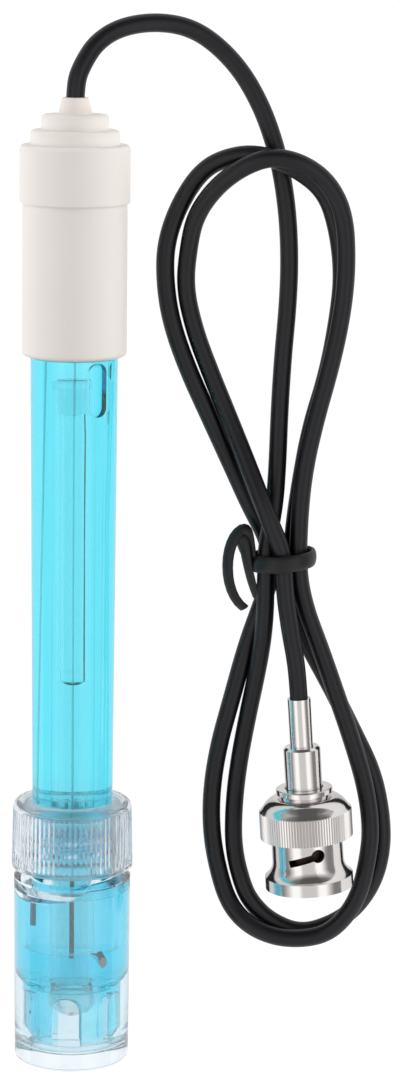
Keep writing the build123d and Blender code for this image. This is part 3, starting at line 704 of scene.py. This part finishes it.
# Bayonet plug: its body and the ferrule crimped on the lead are turned brass with nickel plate. The plate
# is mirror bright, with the faintest turning marks under it.
turning_mark = 0.15 * mm  # coarser than the real one, so that it shows
nickel = new_material("bright nickel plate")
place = add(nickel, "ShaderNodeTexCoord").outputs["Object"]
rings = add(nickel, "ShaderNodeMapping", {"Vector": place, "Scale": (0.02, 1, 0.02)}).outputs["Vector"]
marks = add(nickel, "ShaderNodeTexNoise", {
    "Vector": rings, "Scale": 1 / turning_mark, "Detail": 2,
}).outputs["Fac"]
gloss = add(nickel, "ShaderNodeMapRange", {
    "Value": marks, "To Min": 0.08, "To Max": 0.2,
}).outputs["Result"]
surface = add(nickel, "ShaderNodeBsdfPrincipled", {
    "Base Color": linear("e2dedc"), "Metallic": 1, "Roughness": gloss,
})
add(nickel, "ShaderNodeOutputMaterial", {"Surface": surface.outputs["BSDF"]})
plug_pieces = [dress(name, nickel) for name in ("plug_body", "crimp_ferrule")]


# Plug's insides: a slotted contact of bronze, painted near black as shade for the gap inside the nut,
# a white PTFE insulator, a gold-plated pin soldered to the core, a red-brown gasket for the jack and a
# thin spring washer behind the flange.
turned_line = 0.2 * mm
for finish_name, dark, light, rough, metallic, name in (
    # The contact's near-black colour is painted shade for the unlit gap between the nut and the contact.
    ("contact bronze in painted shade", "2f2622", "4a3b33", 0.5, 1, "contact_sleeve"),
    ("turned PTFE", "ebeae5", "f7f6f2", 0.4, 0, "plug_insulator"),
    ("gold plate", "c99f45", "dcb964", 0.2, 1, "centre_pin"),
    ("gasket rubber", "4b211c", "663029", 0.6, 0, "plug_gasket"),
    ("rolled spring steel", "8b8b8e", "a7a7aa", 0.3, 1, "spring_washer"),
):
    finish = new_material(finish_name)
    place = add(finish, "ShaderNodeTexCoord").outputs["Object"]
    lines = add(finish, "ShaderNodeTexNoise", {
        "Vector": place, "Scale": 1 / turned_line, "Detail": 2,
    }).outputs["Fac"]
    shade = add(finish, "ShaderNodeMix", {
        0: lines, 6: linear(dark), 7: linear(light),
    }, data_type="RGBA").outputs[2]
    surface = add(finish, "ShaderNodeBsdfPrincipled", {
        "Base Color": shade, "Metallic": metallic, "Roughness": rough,
    })
    add(finish, "ShaderNodeOutputMaterial", {"Surface": surface.outputs["BSDF"]})
    plug_pieces.append(dress(name, finish))


# Coupling nut: nickel-plated brass like the body, with two slanting bayonet ramps and a grip of about a
# hundred straight teeth, cut here into the plain nut.
tooth_count = 96
groove_share = 0.72
groove_lift = 0.04
grip_radius = 7.2
grip_start = 7.94
grip_length = 4.4
tooth_crease = radians(25)
nut_joint = next(j for j in frame["joints"] if j["name"] == "nut_turn")
plug_back = -Vector(nut_joint["axis"])
plug_down = Vector((0, 0, -1))
plug_frame = Matrix((plug_down.cross(plug_back), plug_down, plug_back)).transposed().to_4x4()
plug_frame = Matrix.Translation(nut_joint["pos_m"]) @ plug_frame

grooves = bmesh.new()
tooth_width = 2 * pi * grip_radius / tooth_count
groove_side = tooth_width * groove_share * mm
groove_spot = ((grip_radius + groove_lift) * mm, 0, (grip_start + grip_length / 2) * mm)
for tooth in range(tooth_count):
    made = bmesh.ops.create_cube(grooves, size=1)["verts"]
    bmesh.ops.scale(grooves, vec=(groove_side, groove_side, grip_length * mm), verts=made)
    bmesh.ops.rotate(grooves, matrix=Matrix.Rotation(pi / 4, 3, "Z"), verts=made)
    bmesh.ops.translate(grooves, vec=groove_spot, verts=made)
    bmesh.ops.rotate(grooves, matrix=Matrix.Rotation(2 * pi * tooth / tooth_count, 3, "Z"), verts=made)
bmesh.ops.transform(grooves, matrix=plug_frame, verts=grooves.verts)
groove_data = bpy.data.meshes.new("grooves")
grooves.to_mesh(groove_data)
grooves.free()
cutter = bpy.data.objects.new("cutter", groove_data)
bpy.context.scene.collection.objects.link(cutter)
nut = bpy.data.objects.new("coupling_nut_knurled", nodes["coupling_nut"].data.copy())
bpy.context.scene.collection.objects.link(nut)
nut.modifiers.new("closed", "WELD").merge_threshold = weld_gap
carve(nut, cutter)
nut.data.materials.clear()
nut.data.materials.append(nickel)
nut.data.shade_smooth()
nut.modifiers.new("creases", "EDGE_SPLIT").split_angle = tooth_crease
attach(nut, "nut")
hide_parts("coupling_nut")


# Studio: the object lies on a white paper sweep between two large soft lights. The sweep is plain white to
# the camera and through glass, duller in metal, and keeps a faint shadow. The lights themselves are kept
# out of reflections, which show the room's white panels and its dark sides and far end instead.
sweep_half = 3.0
sweep_drop = 0.02 * mm
paper_glow = 1.12
shadow_share = 0.12
mirror_share = 0.6
sweep_mesh = bmesh.new()
bmesh.ops.create_grid(sweep_mesh, x_segments=1, y_segments=1, size=sweep_half)
bmesh.ops.translate(sweep_mesh, vec=(0, 0, -sweep_drop), verts=sweep_mesh.verts)
sweep_data = bpy.data.meshes.new("sweep")
sweep_mesh.to_mesh(sweep_data)
sweep_mesh.free()
sweep = bpy.data.objects.new("sweep", sweep_data)
bpy.context.scene.collection.objects.link(sweep)
paper = new_material("white sweep")
ray = add(paper, "ShaderNodeLightPath").outputs
seen = add(paper, "ShaderNodeMath", {0: ray["Is Glossy Ray"], 1: mirror_share}, operation="MULTIPLY")
seen = add(paper, "ShaderNodeMath", {0: seen.outputs[0], 1: ray["Is Camera Ray"]}, operation="MAXIMUM")
seen = add(paper, "ShaderNodeMath", {
    0: seen.outputs[0], 1: ray["Is Transmission Ray"],
}, operation="MAXIMUM")
share = add(paper, "ShaderNodeMath", {0: seen.outputs[0], 1: 1 - shadow_share}, operation="MULTIPLY")
matt = add(paper, "ShaderNodeBsdfDiffuse", {"Color": linear("f9f9f9")})
glow = add(paper, "ShaderNodeEmission", {"Color": linear("ffffff"), "Strength": paper_glow})
both = add(paper, "ShaderNodeMixShader", {0: share.outputs[0], 1: matt.outputs[0], 2: glow.outputs[0]})
add(paper, "ShaderNodeOutputMaterial", {"Surface": both.outputs[0]})
sweep.data.materials.append(paper)

room_level = 0.33
mirror_level = 0.76
mirror_white = 1.3
dark_end = 0.15
dark_side = 0.2
panel_start = (0.3, 0.42)
panel_stop = (0.66, 0.9)
end_way = (0, 0.97, 0.24)
end_start = (0.45, 0.85)
world = bpy.data.worlds.new("studio")
world.use_nodes = True
world.node_tree.nodes.clear()
bpy.context.scene.world = world
ray = add(world, "ShaderNodeLightPath").outputs
sky = add(world, "ShaderNodeTexCoord").outputs["Generated"]
sideways = add(world, "ShaderNodeVectorMath", {0: sky}, operation="ABSOLUTE").outputs[0]
sideways = add(world, "ShaderNodeSeparateXYZ", {0: sideways}).outputs["X"]
rise = add(world, "ShaderNodeMapRange", {
    "Value": sideways, "From Min": panel_start[0], "From Max": panel_start[1],
    "To Min": mirror_level, "To Max": mirror_white,
}).outputs["Result"]
fall = add(world, "ShaderNodeMapRange", {
    "Value": sideways, "From Min": panel_stop[0], "From Max": panel_stop[1],
    "To Min": 1, "To Max": dark_side,
}).outputs["Result"]
panels = add(world, "ShaderNodeMath", {0: rise, 1: fall}, operation="MULTIPLY").outputs[0]
endwards = add(world, "ShaderNodeVectorMath", {
    0: sky, 1: end_way,
}, operation="DOT_PRODUCT").outputs["Value"]
far_end = add(world, "ShaderNodeMapRange", {
    "Value": endwards, "From Min": end_start[0], "From Max": end_start[1],
    "To Min": 1, "To Max": dark_end,
}).outputs["Result"]
panels = add(world, "ShaderNodeMath", {0: panels, 1: far_end}, operation="MULTIPLY").outputs[0]
level = add(world, "ShaderNodeMix", {0: ray["Is Glossy Ray"], 2: room_level, 3: panels}).outputs[0]
room = add(world, "ShaderNodeBackground", {"Color": linear("ffffff"), "Strength": level})
white = add(world, "ShaderNodeBackground", {"Color": linear("ffffff"), "Strength": 1})
seen = add(world, "ShaderNodeMath", {
    0: ray["Is Camera Ray"], 1: ray["Is Transmission Ray"],
}, operation="MAXIMUM")
both = add(world, "ShaderNodeMixShader", {0: seen.outputs[0], 1: room.outputs[0], 2: white.outputs[0]})
add(world, "ShaderNodeOutputWorld", {"Surface": both.outputs[0]})

softbox_width = 0.6
softbox_length = 1.3
softbox_out = 0.68
softbox_along = 0.3
softbox_height = 0.28
softbox_lean = 67
for name, side, power in (("left softbox", -1, 5.8), ("right softbox", 1, 6.4)):
    softbox = bpy.data.lights.new(name, "AREA")
    softbox.shape = "RECTANGLE"
    softbox.size = softbox_width
    softbox.size_y = softbox_length
    softbox.energy = power
    lamp = bpy.data.objects.new(name, softbox)
    bpy.context.scene.collection.objects.link(lamp)
    lamp.visible_glossy = False
    lamp.visible_transmission = False
    lamp.location = (side * softbox_out, softbox_along, softbox_height)
    lamp.rotation_euler = (0, side * radians(softbox_lean), 0)


# Camera: close to straight above the object, a little towards its lead end, on a long lens. Light may pass
# through many clear walls on its way to it.
camera_spot = Vector((19.25, 112.77, 531.0))
camera_tilt = -11.4
camera_roll = 0.64
focal_pixels = 3500
picture_height = 1083
sensor_height = 24
most_bounces = 32
camera = bpy.data.objects.new("camera", bpy.data.cameras.new("camera"))
bpy.context.scene.collection.objects.link(camera)
camera.data.sensor_fit = "VERTICAL"
camera.data.sensor_height = sensor_height
camera.data.lens = sensor_height * focal_pixels / picture_height
camera.data.clip_start = 0.01
camera.matrix_world = (
    Matrix.Translation(camera_spot * mm)
    @ Matrix.Rotation(radians(camera_tilt), 4, "X")
    @ Matrix.Rotation(radians(camera_roll), 4, "Z")
)
scene = bpy.context.scene
scene.camera = camera
scene.view_settings.view_transform = "Standard"
scene.cycles.max_bounces = most_bounces
scene.cycles.glossy_bounces = most_bounces
scene.cycles.transmission_bounces = most_bounces
scene.cycles.transparent_max_bounces = 16
